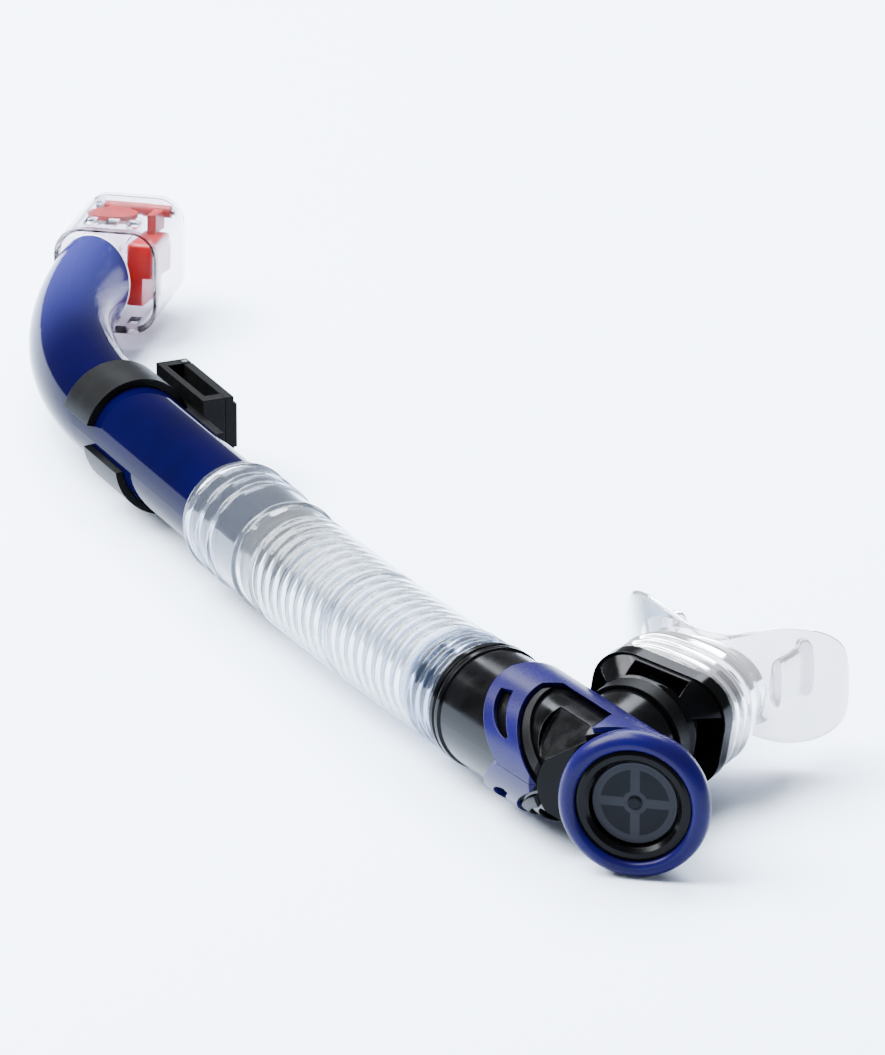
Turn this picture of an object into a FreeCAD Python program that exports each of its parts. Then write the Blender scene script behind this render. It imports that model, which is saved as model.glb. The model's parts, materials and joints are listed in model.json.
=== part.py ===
import FreeCAD, Part
import math
import os
import Sketcher

# A dry snorkel lying on its side, in millimetres.  Z is up, the barrel runs along Y with its
# lower end towards -Y, and the mouthpiece and the curved top both turn towards +X.
# Every local frame below has its Z along the piece's own axis and its Y straight up, so local
# -X is the mouth side of the tube.

Vector = FreeCAD.Vector
Placement = FreeCAD.Placement
Rotation = FreeCAD.Rotation

SIZES = {
    # resting place of the whole object
    "origin_shift_x": -25.7,
    "origin_shift_y": -206.3,
    "axis_height": 18.6,
    # running and seating clearances
    "seat_gap": 0.1,
    "run_gap": 0.08,
    "soft_gap": 0.3,
    # chamber tube, its lean from the barrel and the turn of the purge face
    "chamber_lean": 5.9,
    "purge_turn": 42.8,
    "chamber_radius": 15.2,
    "chamber_wall": 1.8,
    "chamber_length": 67.0,
    "purge_reach": 4.4,
    # neck collar and hose
    "collar_radius": 15.7,
    "collar_length": 5.2,
    "spigot_radius": 12.8,
    "spigot_bore": 11.0,
    "spigot_length": 14.0,
    "plug_depth": 7.0,
    "hose_span": 111.6,
    "hose_wall": 1.9,
    "far_cuff": 34.0,
    # barrel
    "barrel_radius": 12.8,
    "barrel_wall": 1.7,
    "barrel_straight": 109.0,
    "bend_radius": 165.0,
    "bend_turn": 37.0,
    "oval_width": 10.4,
    "oval_height": 13.3,
    # dry top
    "gasket_thickness": 0.9,
    "base_thickness": 2.3,
    "hood_outer_side": 10.8,
    "hood_mouth_side": 17.6,
    "hood_half_height": 14.5,
    "hood_length": 35.3,
    "hood_round": 7.5,
    "hood_wall": 1.4,
    "duct_half_width": 6.6,
    "duct_below": 9.5,
    "duct_above": 8.0,
    "duct_length": 27.0,
    "duct_wall": 1.3,
    "valve_radius": 5.2,
    "valve_place": 19.0,
    "flap_radius": 6.9,
    "flap_thickness": 1.2,
    "seal_radius": 6.3,
    "seal_thickness": 1.0,
    "flap_open": 8.0,
    "lever_pin_radius": 0.8,
    "lever_sleeve_radius": 1.7,
    "float_width": 8.0,
    "float_height": 17.2,
    "float_length": 17.0,
    "float_start": 7.0,
    "plug_into_barrel": 5.0,
    "insert_depth": 8.0,
    "insert_length": 4.0,
    "insert_wall": 1.2,
    "tongue_length": 22.0,
    "tongue_width": 6.0,
    # keeper
    "keeper_place": 74.0,
    "keeper_wall": 2.0,
    "upper_arm_width": 16.0,
    "lower_arm_width": 22.0,
    "bracket_start": 14.0,
    "strap_width": 25.0,
    "strap_room": 4.3,
    "bracket_half_height": 8.0,
    "bracket_plate": 1.8,
    "post_width": 3.4,
    "gate_thickness": 2.4,
    "gate_pin_radius": 0.8,
    # blue cover
    "cover_thickness": 1.4,
    "cover_rear": 54.0,
    "seam_gap": 0.1,
    # purge end
    "bezel_radius": 18.6,
    "bezel_depth": 9.0,
    "bezel_mouth": 14.2,
    "bezel_lip": 3.0,
    "retainer_bore": 10.9,
    "disc_radius": 10.4,
    "disc_thickness": 0.9,
    "disc_depth": 3.4,
    "seat_thickness": 2.0,
    "stem_radius": 1.6,
    "valve_lift": 1.2,
    # branch and mouthpiece
    "branch_place": 22.0,
    "branch_turn": 30.1,
    "branch_tilt": 3.0,
    "mouth_turn": 11.0,
    "socket_bore": 11.3,
    "socket_radius": 13.0,
    "socket_end": 25.4,
    "core_bore": 9.6,
    "sleeve_start": 14.0,
    "shroud_start": 25.8,
    "flange_start": 33.0,
    "flange_end": 37.0,
    "flange_width": 18.5,
    "flange_height": 14.8,
    "flange_corner": 10.5,
    "tip_width": 16.4,
    "tip_height": 12.7,
    "tip_corner": 9.0,
    "tip_length": 10.5,
    "tip_wall": 2.0,
    "cuff_wall": 2.4,
    "cuff_length": 13.0,
    "mouth_neck": 10.0,
    "bite_plate_radius": 38.0,
    "bite_plate_thickness": 1.8,
    "bite_half_width": 30.5,
    "bite_half_height": 16.2,
    "airway_width": 12.5,
    "airway_height": 8.5,
    "bite_tab_place": 16.0,
    "bite_tab_length": 12.0,
    "bite_tab_width": 11.0,
    "bite_tab_thickness": 4.0,
}

document = FreeCAD.newDocument("snorkel")
sheet = document.addObject("Spreadsheet::Sheet", "Sizes")
for row, (alias, number) in enumerate(SIZES.items(), start=1):
    sheet.set(f"A{row}", alias)
    sheet.set(f"B{row}", str(number))
    sheet.setAlias(f"B{row}", alias)
document.recompute()


class Size:
    """A length that keeps both its value and the spreadsheet formula it comes from."""

    def __init__(self, value, text):
        self.value = value
        self.text = text

    def __add__(self, other):
        other = as_size(other)
        return Size(self.value + other.value, f"({self.text} + {other.text})")

    def __sub__(self, other):
        other = as_size(other)
        return Size(self.value - other.value, f"({self.text} - {other.text})")

    def __mul__(self, other):
        other = as_size(other)
        return Size(self.value * other.value, f"({self.text} * {other.text})")

    def __truediv__(self, other):
        other = as_size(other)
        return Size(self.value / other.value, f"({self.text} / {other.text})")

    def __neg__(self):
        return Size(-self.value, f"(0 - {self.text})")

    def __radd__(self, other):
        return as_size(other) + self

    def __rsub__(self, other):
        return as_size(other) - self

    def __rmul__(self, other):
        return as_size(other) * self


def as_size(number):
    """Turn a plain number into a Size with the same value."""
    if isinstance(number, Size):
        return number
    return Size(float(number), f"({float(number)})")


def cell(alias):
    """The driving dimension kept under this alias in the spreadsheet."""
    return Size(float(sheet.get(alias)), f"Sizes.{alias}")


def bind(item, name, size):
    """Set one property of an object and tie it to the spreadsheet."""
    size = as_size(size)
    setattr(item, name, size.value)
    item.setExpression(name, size.text)


# ---------------------------------------------------------------- frames

UP = Vector(0, 0, 1)


def frame(origin, along):
    """A placement with its Z along the given direction and its Y as near to up as it can be."""
    axis_z = Vector(along).normalize()
    axis_x = UP.cross(axis_z).normalize()
    axis_y = axis_z.cross(axis_x)
    return Placement(origin, Rotation(axis_x, axis_y, axis_z, "ZYX"))


def moved(base, x=0.0, y=0.0, z=0.0, turn=None):
    """A placement shifted inside a frame, with an optional turn after the shift."""
    turn = turn or Rotation()
    return base.multiply(Placement(Vector(x, y, z), turn))


def number(alias):
    return cell(alias).value


def sine(degrees):
    return math.sin(math.radians(degrees))


def cosine(degrees):
    return math.cos(math.radians(degrees))


lean = number("chamber_lean")
# The corner is where the chamber's axis meets the axis of the purge face.
corner = Vector(number("origin_shift_x"), number("origin_shift_y"), number("axis_height"))
CHAMBER = frame(corner, Vector(-sine(lean), cosine(lean), 0))
purge_angle = number("purge_turn") - lean
purge_direction = Vector(-sine(purge_angle), -cosine(purge_angle), 0)
PURGE = frame(corner + purge_direction * number("purge_reach"), purge_direction)
branch_turn = number("branch_turn")
branch_tilt = number("branch_tilt")
branch_local = Vector(
    -cosine(branch_turn) * cosine(branch_tilt),
    sine(branch_tilt),
    sine(branch_turn) * cosine(branch_tilt),
)
branch_origin = CHAMBER.multVec(Vector(0, 0, number("branch_place")))
BRANCH = frame(branch_origin, CHAMBER.Rotation.multVec(branch_local))
MOUTH = moved(BRANCH, turn=Rotation(UP, number("mouth_turn")))
NECK = moved(CHAMBER, z=number("chamber_length"))
HOSE = moved(NECK, z=number("collar_length") + number("soft_gap"))
# The hose is one gentle arc that takes up the lean between chamber and barrel.
hose_radius = number("hose_span") / math.radians(lean)
barrel_start = HOSE.multVec(
    Vector(-hose_radius * (1 - cosine(lean)), 0, hose_radius * sine(lean))
)
BARREL = frame(barrel_start, Vector(0, 1, 0))
KEEPER = moved(BARREL, z=number("keeper_place"))
BRACKET = moved(KEEPER, y=1.0, z=number("bracket_start"))


def bend_frame(turn):
    """The barrel's own frame after this many degrees of its curved end."""
    radius = number("bend_radius")
    local = Vector(-radius * (1 - cosine(turn)), 0, number("barrel_straight") + radius * sine(turn))
    return frame(BARREL.multVec(local), Vector(sine(turn), cosine(turn), 0))


TOP = bend_frame(number("bend_turn"))


# ---------------------------------------------------------------- building blocks

def body(name, place):
    item = document.addObject("PartDesign::Body", name)
    item.Label = name
    item.Placement = place
    return item


def sketch_on(owner, role, name):
    plane = [each for each in owner.Origin.OriginFeatures if each.Role == role][0]
    sketch = owner.newObject("Sketcher::SketchObject", name)
    sketch.AttachmentSupport = (plane, [""])
    sketch.MapMode = "FlatFace"
    return sketch


def pin_point(sketch, geometry, end, point):
    """Hold one point of a sketch at a place given by two sizes."""
    for kind, size in (("DistanceX", point[0]), ("DistanceY", point[1])):
        size = as_size(size)
        index = sketch.addConstraint(Sketcher.Constraint(kind, -1, 1, geometry, end, size.value))
        sketch.setExpression(f"Constraints[{index}]", size.text)


def flat(point):
    return Vector(as_size(point[0]).value, as_size(point[1]).value, 0)


def draw_outline(sketch, corners):
    """A closed outline.  A corner is (x, y), or (x, y, middle) when an arc through middle leads to
    the next corner."""
    count = len(corners)
    for index, start in enumerate(corners):
        end = corners[(index + 1) % count]
        if len(start) == 3:
            arc = Part.Arc(flat(start), flat(start[2]), flat(end))
            added = sketch.addGeometry(arc)
            reversed_arc = (sketch.getPoint(added, 1) - flat(start)).Length > 1e-6
            start_end = (2, 1) if reversed_arc else (1, 2)
        else:
            added = sketch.addGeometry(Part.LineSegment(flat(start), flat(end)))
            start_end = (1, 2)
        pin_point(sketch, added, start_end[0], start)
        pin_point(sketch, added, start_end[1], end)
        if len(start) == 3:
            through = sketch.addGeometry(Part.Point(flat(start[2])), True)
            pin_point(sketch, through, 1, start[2])
            sketch.addConstraint(Sketcher.Constraint("PointOnObject", through, 1, added))


def draw_circle(sketch, centre, radius):
    radius = as_size(radius)
    added = sketch.addGeometry(Part.Circle(flat(centre), Vector(0, 0, 1), radius.value))
    pin_point(sketch, added, 3, centre)
    index = sketch.addConstraint(Sketcher.Constraint("Radius", added, radius.value))
    sketch.setExpression(f"Constraints[{index}]", radius.text)


def draw_oval(sketch, width, height):
    """An ellipse centred on the axis, with its half width along X and half height along Y."""
    width = as_size(width)
    height = as_size(height)
    wide = width.value >= height.value
    major, minor = (width, height) if wide else (height, width)
    tip = Vector(major.value, 0, 0) if wide else Vector(0, major.value, 0)
    side = Vector(0, minor.value, 0) if wide else Vector(-minor.value, 0, 0)
    added = sketch.addGeometry(Part.Ellipse(tip, side, Vector(0, 0, 0)))
    sketch.exposeInternalGeometry(added)
    sketch.addConstraint(Sketcher.Constraint("Coincident", added, 3, -1, 1))
    long_line = added + 1
    short_line = added + 2
    sketch.addConstraint(Sketcher.Constraint("Horizontal" if wide else "Vertical", long_line))
    for line, half in ((long_line, major), (short_line, minor)):
        index = sketch.addConstraint(Sketcher.Constraint("Distance", line, 2 * half.value))
        sketch.setExpression(f"Constraints[{index}]", (2 * half).text)


def turned(name, place, profile):
    """A solid of revolution about local Z from a closed (radius, height) profile."""
    item = body(name, place)
    sketch = sketch_on(item, "XZ_Plane", name + "_profile")
    draw_outline(sketch, profile)
    feature = item.newObject("PartDesign::Revolution", name + "_turned")
    feature.Profile = sketch
    feature.ReferenceAxis = (sketch, ["V_Axis"])
    feature.Angle = 360
    return item


def pad(owner, sketch, length, name):
    feature = owner.newObject("PartDesign::Pad", name)
    feature.Profile = sketch
    bind(feature, "Length", length)
    return feature


def plate(name, place, outline, length):
    """A flat piece with this outline in local XY and this length along local Z."""
    item = body(name, place)
    sketch = sketch_on(item, "XY_Plane", name + "_outline")
    draw_outline(sketch, outline)
    pad(item, sketch, length, name + "_pad")
    return item


def cylinder(name, place, radius, length):
    item = document.addObject("Part::Cylinder", name)
    bind(item, "Radius", radius)
    bind(item, "Height", length)
    item.Placement = place
    return item


def ball(name, place, radius):
    item = document.addObject("Part::Sphere", name)
    bind(item, "Radius", radius)
    item.Placement = place
    return item


def block(name, base, low, high):
    """A box between two corners of a frame."""
    item = document.addObject("Part::Box", name)
    corners = [(as_size(a), as_size(b)) for a, b in zip(low, high)]
    for prop, (a, b) in zip(("Length", "Width", "Height"), corners):
        bind(item, prop, b - a)
    item.Placement = moved(base, *[a.value for a, _ in corners])
    return item


def fuse(name, *shapes):
    item = document.addObject("Part::MultiFuse", name)
    item.Shapes = list(shapes)
    return item


def cut(name, base, tool):
    item = document.addObject("Part::Cut", name)
    item.Base = base
    item.Tool = tool
    return item


def common(name, *shapes):
    item = document.addObject("Part::MultiCommon", name)
    item.Shapes = list(shapes)
    return item


def rounded(name, base, radius, keep):
    """Fillet the edges of a solid that the keep test picks, by one radius."""
    document.recompute()
    radius = as_size(radius)
    picked = [
        (index, radius.value, radius.value)
        for index, edge in enumerate(base.Shape.Edges, start=1)
        if keep(edge)
    ]
    item = document.addObject("Part::Fillet", name)
    item.Base = base
    item.Edges = picked
    return item


NODES = []


def node(item, name):
    """Give a finished sub-part its own name and put it on the list to be written."""
    item.Label = name
    NODES.append(item)
    return item


def shape_node(name, shape, place):
    """A sub-part whose surface neither a sketch nor a primitive gives."""
    item = document.addObject("Part::Feature", name)
    item.Shape = shape
    item.Placement = place
    return node(item, name)


def oval_wire(place, width, height):
    """An ellipse as a wire, half width along local X and half height along local Y."""
    if width >= height:
        curve = Part.Ellipse(Vector(0, 0, 0), width, height)
    else:
        curve = Part.Ellipse(Vector(0, height, 0), Vector(-width, 0, 0), Vector(0, 0, 0))
    wire = Part.Wire([curve.toShape()])
    wire.Placement = place
    return wire


# ---------------------------------------------------------------- barrel and dry top

def blend(start, end, share):
    """From start to end along a smooth S as share goes from nought to one."""
    eased = share * share * (3 - 2 * share)
    return start + (end - start) * eased


JOIN_STEP = 0.03


def barrel_form(inset, step, overrun):
    """A round tube's form, then a bend that turns oval; the bend starts a hair inside it."""
    radius = number("barrel_radius") - inset
    length = number("barrel_straight")
    straight = Part.makeCylinder(radius, length + overrun, Vector(0, 0, -overrun))
    home = BARREL.inverse()
    sections = 9
    wires = [oval_wire(Placement(Vector(0, 0, length - 2.0), Rotation()),
                       radius - step, radius - step + 0.001)]
    for section in range(sections + 1):
        share = section / sections
        width = blend(number("barrel_radius"), number("oval_width"), share) - inset - step
        height = blend(number("barrel_radius"), number("oval_height"), share) - inset - step
        place = home.multiply(bend_frame(number("bend_turn") * share))
        wires.append(oval_wire(place, width, max(height, width + 0.001)))
    if overrun:
        wires.append(oval_wire(moved(home.multiply(TOP), z=overrun), width, height))
    return straight.fuse(Part.makeLoft(wires, True, False))


def make_barrel():
    outside = barrel_form(0.0, JOIN_STEP, 0.0)
    bore = barrel_form(number("barrel_wall"), -JOIN_STEP, 1.0)
    shape_node("barrel_tube", outside.cut(bore), BARREL)


def oval_ring(name, place, outer, inner, length):
    """An oval ring between two (half width, half height) pairs, length along local Z."""
    item = body(name, place)
    sketch = sketch_on(item, "XY_Plane", name + "_outline")
    draw_oval(sketch, *outer)
    if inner:
        draw_oval(sketch, *inner)
    pad(item, sketch, length, name + "_pad")
    return item


def rounded_outline(width, height, corner):
    """A rectangle about the axis with these half sizes and this corner radius."""
    cut_in = corner * (1 - math.sqrt(0.5))
    outline = []
    for sign_x, sign_y in ((1, 1), (-1, 1), (-1, -1), (1, -1)):
        arc_side = (width * sign_x, (height - corner) * sign_y)
        arc_end = ((width - corner) * sign_x, height * sign_y)
        middle = ((width - cut_in) * sign_x, (height - cut_in) * sign_y)
        if sign_x * sign_y > 0:
            outline += [arc_side + (middle,), arc_end]
        else:
            outline += [arc_end + (middle,), arc_side]
    return outline


def rounded_wire(place, width, height, corner):
    """The same rectangle as a wire, for a loft."""
    edges = []
    points = [(flat(p), flat(p[2]) if len(p) == 3 else None)
              for p in rounded_outline(width, height, corner)]
    for index, (start, middle) in enumerate(points):
        end = points[(index + 1) % len(points)][0]
        curve = Part.Arc(start, middle, end) if middle else Part.LineSegment(start, end)
        edges.append(curve.toShape())
    wire = Part.Wire(edges)
    wire.Placement = place
    return wire


def barrel_oval(inset):
    return (cell("oval_width") - inset, cell("oval_height") - inset)


def make_top_gasket():
    wall = cell("barrel_wall")
    node(oval_ring("top_gasket", TOP, barrel_oval(0.0), barrel_oval(wall), cell("gasket_thickness")),
         "top_gasket")


def make_core_insert():
    """A red ring inside the end of the barrel with a tongue along the mouth side of the bore."""
    outer_inset = cell("barrel_wall") + cell("seat_gap") * 2
    inner_inset = outer_inset + cell("insert_wall")
    half_length = cell("insert_length") / 2
    back = math.degrees(number("insert_depth") / number("bend_radius"))
    home = bend_frame(number("bend_turn") - back)
    ring = oval_ring("insert_ring", moved(home, z=-half_length.value),
                     barrel_oval(outer_inset), barrel_oval(inner_inset), cell("insert_length"))
    reach = cell("oval_width") - outer_inset - 0.6
    half = cell("tongue_width") / 2
    tongue = block("insert_tongue", home,
                   (-reach, -half, -(half_length + cell("tongue_length"))),
                   (-(reach - cell("insert_wall")), half, 0.0))
    node(fuse("core_insert", ring, tongue), "core_insert")


def make_top_base():
    """Plate, plug and valve duct in one moulding; the duct's valve opening faces up."""
    start = cell("gasket_thickness")
    rear = start + cell("base_thickness")
    inset = cell("barrel_wall") + cell("seat_gap")
    plug = oval_ring("base_plug", moved(TOP, z=-number("plug_into_barrel")),
                     barrel_oval(inset), None, cell("plug_into_barrel") + start)
    slab = block("base_slab", TOP,
                 (-cell("hood_mouth_side"), -cell("hood_half_height"), start),
                 (cell("hood_outer_side"), cell("hood_half_height"), rear))
    corners = rounded("base_plate", slab, cell("hood_round"), runs_along(TOP, "z"))
    half = cell("duct_half_width")
    tip = rear + cell("duct_length")
    duct = block("duct_outside", TOP, (-half, -cell("duct_below"), start),
                 (half, cell("duct_above"), tip))
    lug = block("pin_lug", TOP, (half - 2.0, cell("duct_above") - 1.0, tip - 1.4),
                (half, hinge_height() + cell("lever_pin_radius") + 1.2, hinge_place() + 1.8))
    solid = fuse("base_solid", plug, corners, duct, lug)
    wall = cell("duct_wall")
    bore = oval_ring("base_bore", moved(TOP, z=-number("plug_into_barrel") - 1.0),
                     (half - wall - 0.5, cell("duct_above") - wall - 0.5), None,
                     cell("plug_into_barrel") + 1.0 + rear)
    inside = block("duct_inside", TOP,
                   (-(half - wall), -(cell("duct_below") - wall), rear - 1.0),
                   (half - wall, cell("duct_above") - wall, tip - wall))
    valve = cylinder("valve_opening",
                     moved(TOP, y=0.0, z=(rear + cell("valve_place")).value,
                           turn=Rotation(Vector(1, 0, 0), -90)),
                     cell("valve_radius"), cell("duct_above") + 3.0)
    pin = cylinder("lug_hole", hinge_frame(x=0.0), cell("lever_pin_radius"), 40.0)
    spaces = fuse("base_spaces", bore, inside, valve, pin)
    node(cut("top_base", solid, spaces), "top_base")


def runs_along(base, axis):
    """A test for straight edges that run along one axis of a frame."""
    direction = base.Rotation.multVec({"x": Vector(1, 0, 0), "y": Vector(0, 1, 0), "z": UP}[axis])

    def test(edge):
        if not isinstance(edge.Curve, Part.Line):
            return False
        return abs(abs(edge.tangentAt(edge.FirstParameter).dot(direction)) - 1) < 1e-6
    return test


def hinge_height():
    """Height of the flap's hinge above the axis of the top."""
    return (cell("duct_above") + cell("seal_thickness") + cell("flap_thickness") / 2
            + cell("run_gap"))


def hinge_place():
    """Distance of the flap's hinge along the top, just past the duct's end."""
    rear = cell("gasket_thickness") + cell("base_thickness")
    return rear + cell("duct_length") + cell("lever_sleeve_radius")


def hinge_frame(x=0.0):
    """On the hinge's axis, with Z along the pin towards the outer side."""
    return moved(TOP, x=x, y=hinge_height().value, z=hinge_place().value,
                 turn=Rotation(Vector(0, 1, 0), 90))


def make_hinge_pin():
    start = -(cell("duct_half_width") + cell("float_width")).value
    length = cell("duct_half_width") * 2 + cell("float_width")
    node(cylinder("hinge_pin", hinge_frame(x=start), cell("lever_pin_radius"), length), "hinge_pin")


def open_frame():
    """The top's frame carried round the hinge by the angle at which the flap stands open."""
    hinge = hinge_frame()
    swing = hinge.multiply(Placement(Vector(), Rotation(UP, number("flap_open"))))
    return swing.multiply(hinge.inverse()).multiply(TOP)


def make_flap():
    opened = open_frame()
    centre = (cell("gasket_thickness") + cell("base_thickness") + cell("valve_place")).value
    seal_low = cell("duct_above") + cell("run_gap")
    lift = Rotation(Vector(1, 0, 0), -90)
    seal = cylinder("flap_seal", moved(opened, y=seal_low.value, z=centre, turn=lift),
                    cell("seal_radius"), cell("seal_thickness"))
    node(seal, "flap_seal")
    plate_low = seal_low + cell("seal_thickness")
    disc = cylinder("flap_plate", moved(opened, y=plate_low.value, z=centre, turn=lift),
                    cell("flap_radius"), cell("flap_thickness"))
    node(disc, "flap_plate")


def make_lever():
    """A sleeve on the hinge pin, a link to the flap and an arm down to the float."""
    opened = open_frame()
    sleeve_start = -(cell("duct_half_width") + cell("float_width") - 1.0)
    sleeve_end = cell("duct_half_width") - 2.0 - cell("run_gap")
    sleeve_frame = moved(opened, x=sleeve_start.value, y=hinge_height().value,
                         z=hinge_place().value, turn=Rotation(Vector(0, 1, 0), 90))
    sleeve = cylinder("lever_sleeve", sleeve_frame, cell("lever_sleeve_radius"),
                      sleeve_end - sleeve_start)
    low = cell("duct_above") + cell("run_gap") + cell("seal_thickness")
    flap_edge = (cell("gasket_thickness") + cell("base_thickness") + cell("valve_place")
                 + cell("flap_radius") - 0.4)
    link = block("lever_link", opened, (-3.0, low, flap_edge),
                 (3.0, low + cell("flap_thickness"), hinge_place()))
    arm_x = -(cell("duct_half_width") + cell("float_width") / 2)
    arm = block("lever_arm", opened,
                (arm_x - 1.2, float_top() - 0.4, float_end() - 5.0),
                (arm_x + 1.2, hinge_height() + 0.6, hinge_place()))
    solid = fuse("lever_solid", sleeve, link, arm)
    hole = cylinder("lever_bore", moved(sleeve_frame, z=-1.0),
                    cell("lever_pin_radius") + cell("run_gap"), sleeve_end - sleeve_start + 2.0)
    flap_room = cylinder("lever_flap_room",
                         moved(opened, y=low.value - 0.5,
                               z=(flap_edge - cell("flap_radius") + 0.4).value,
                               turn=Rotation(Vector(1, 0, 0), -90)),
                         cell("flap_radius"), 3.0)
    float_room = block("lever_float_room", opened,
                       (arm_x - 2.0, float_top() - 2.0, float_end() - 6.0),
                       (arm_x + 2.0, float_top(), hinge_place() + 3.0))
    node(cut("float_lever", solid, fuse("lever_room", hole, flap_room, float_room)), "float_lever")


def float_top():
    """Height of the float's top face above the top's axis, below the hinge."""
    return hinge_height() - 4.5


def float_end():
    """The float's far end along the top."""
    return (cell("gasket_thickness") + cell("base_thickness") + cell("float_start")
            + cell("float_length"))


def make_float():
    """A rounded box with a step in its lower corner on the mouth side."""
    opened = open_frame()
    outer = -(cell("duct_half_width") + cell("float_width"))
    box = block("float_box", opened,
                (outer, float_top() - cell("float_height"), float_end() - cell("float_length")),
                (-cell("duct_half_width") - 0.6, float_top(), float_end()))
    soft = rounded("float_rounded", box, 1.0, lambda edge: True)
    step = block("float_step", opened,
                 (outer - 1.0, float_top() - cell("float_height") - 1.0,
                  float_end() - cell("float_length") - 1.0),
                 (outer + cell("float_width") / 3, float_top() - cell("float_height") * 0.55,
                  float_end() + 1.0))
    node(cut("float", soft, step), "float")


def make_hood():
    """A clear box with round edges, open where it seats on the base plate."""
    rear = (cell("gasket_thickness") + cell("base_thickness")).value
    base = moved(TOP, z=rear)
    wall = cell("hood_wall")
    outer = block("hood_block", base,
                  (-cell("hood_mouth_side"), -cell("hood_half_height"), 0),
                  (cell("hood_outer_side"), cell("hood_half_height"), cell("hood_length")))
    inner = block("hood_hollow", base,
                  (-(cell("hood_mouth_side") - wall), -(cell("hood_half_height") - wall), -8.0),
                  (cell("hood_outer_side") - wall, cell("hood_half_height") - wall,
                   cell("hood_length") - wall))
    low = base.Base.dot(base.Rotation.multVec(UP))

    def above_seat(edge):
        """All edges but those round the open face."""
        return edge.CenterOfMass.dot(base.Rotation.multVec(UP)) > low + 0.1

    outside = rounded("hood_outside", outer, cell("hood_round"), above_seat)
    inside = rounded("hood_inside", inner, cell("hood_round") - wall, above_seat)
    slots = []
    for side in (-1, 1):
        for place in range(3):
            centre = -9.5 + 6.0 * place
            low_y, high_y = (5.0, 20.0) if side > 0 else (-20.0, -5.0)
            slots.append(block(f"hood_slot_{side + 1}_{place}", base,
                               (centre - 1.5, low_y, 2.5), (centre + 1.5, high_y, 8.0)))
    node(cut("top_hood", outside, fuse("hood_spaces", inside, *slots)), "top_hood")


# ---------------------------------------------------------------- keeper

def arm_sector(name, start, width, low_angle, high_angle):
    """A curved arm that hugs the barrel between two angles, start and width along its axis."""
    inner = cell("barrel_radius") + cell("run_gap")
    outer = inner + cell("keeper_wall")
    item = document.addObject("Part::Cylinder", name + "_outside")
    bind(item, "Radius", outer)
    bind(item, "Height", width)
    item.Angle = high_angle - low_angle
    item.Placement = moved(KEEPER, z=as_size(start).value, turn=Rotation(UP, low_angle))
    return item


def make_keeper():
    """Two staggered arms round the barrel, joined along the side that carries the bracket."""
    stagger = cell("lower_arm_width") - 1.0
    upper = arm_sector("upper_arm", stagger, cell("upper_arm_width"), 17, 185)
    lower = arm_sector("lower_arm", 0.0, cell("lower_arm_width"), 175, 354)
    inner = cell("barrel_radius") + cell("run_gap")
    total = stagger + cell("upper_arm_width")
    side = block("keeper_side", KEEPER,
                 (-(inner + cell("keeper_wall") + 0.6), -5.0, 0.0), (-inner + 2.0, 5.0, total))
    bore = cylinder("keeper_bore", moved(KEEPER, z=-1.0), inner, total + 2.0)
    node(cut("keeper_band", fuse("keeper_solid", upper, lower, side), bore), "keeper_band")


def bracket_face():
    """Distance of the strap bracket's inner face from the barrel's axis."""
    return cell("barrel_radius") + cell("run_gap") + cell("keeper_wall") + 0.6


def bracket_span():
    return cell("strap_width") + cell("post_width") * 2


def make_bracket():
    """A plate with a post at each end; the strap lies between the posts."""
    face = bracket_face()
    half = cell("bracket_half_height")
    back = face + cell("bracket_plate")
    tip = back + cell("strap_room")
    post = cell("post_width")
    base = block("bracket_plate_solid", BRACKET, (-back, -half, 0.0), (-face, half, bracket_span()))
    near = block("near_post", BRACKET, (-tip, -half, 0.0), (-back + 0.5, half, post))
    ear_top = block("far_post", BRACKET,
                    (-tip, -half, cell("strap_width") + post),
                    (-back + 0.5, half, bracket_span()))
    ear_shape = [
        block(f"bracket_ear_{index}", BRACKET,
              (-(tip + cell("gate_thickness")), low, cell("strap_width") + post),
              (-tip + 0.5, high, bracket_span()))
        for index, (low, high) in enumerate(((-half, -half + 2.5), (half - 2.5, half)))
    ]
    solid = fuse("bracket_solid", base, near, ear_top, *ear_shape)
    hole = cylinder("gate_pin_hole", gate_frame(-half - 1.0), cell("gate_pin_radius"),
                    half * 2 + 2.0)
    node(cut("keeper_bracket", solid, hole), "keeper_bracket")


def gate_frame(start):
    """On the gate's hinge, with Z along the pin, which runs straight up."""
    tip = bracket_face() + cell("bracket_plate") + cell("strap_room")
    return moved(BRACKET, x=-(tip + cell("gate_thickness") / 2).value, y=as_size(start).value,
                 z=(cell("strap_width") + cell("post_width") * 1.5).value,
                 turn=Rotation(Vector(1, 0, 0), -90))


def make_gate():
    """The gate closes the strap slot; it turns on the pin at its far end."""
    half = cell("bracket_half_height")
    tip = bracket_face() + cell("bracket_plate") + cell("strap_room") + cell("seat_gap")
    thick = cell("gate_thickness")
    knuckle_half = half - 2.5 - cell("soft_gap")
    place = cell("strap_width") + cell("post_width") * 1.5
    plate_end = cell("strap_width") + cell("post_width") - cell("soft_gap") * 2
    leaf = block("gate_leaf", BRACKET, (-(tip + thick), -half, 0.0), (-tip, half, plate_end))
    neck = block("gate_neck", BRACKET, (-(tip + thick - 0.2), -knuckle_half, plate_end - 1.0),
                 (-tip - 0.2, knuckle_half, place))
    knuckle = cylinder("gate_knuckle", gate_frame(-knuckle_half), thick / 2 - 0.2,
                       knuckle_half * 2)
    lift = block("gate_lip", BRACKET, (-(tip + thick + 0.9), -half + 2.0, 0.0),
                 (-(tip + thick) + 0.5, half - 2.0, 2.4))
    solid = fuse("gate_solid", leaf, neck, knuckle, lift)
    hole = cylinder("gate_bore", gate_frame(-half), cell("gate_pin_radius") + cell("run_gap"),
                    half * 2)
    node(cut("keeper_gate", solid, hole), "keeper_gate")
    node(cylinder("gate_pin", gate_frame(-half), cell("gate_pin_radius"), half * 2), "gate_pin")


# ---------------------------------------------------------------- hose and neck

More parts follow.
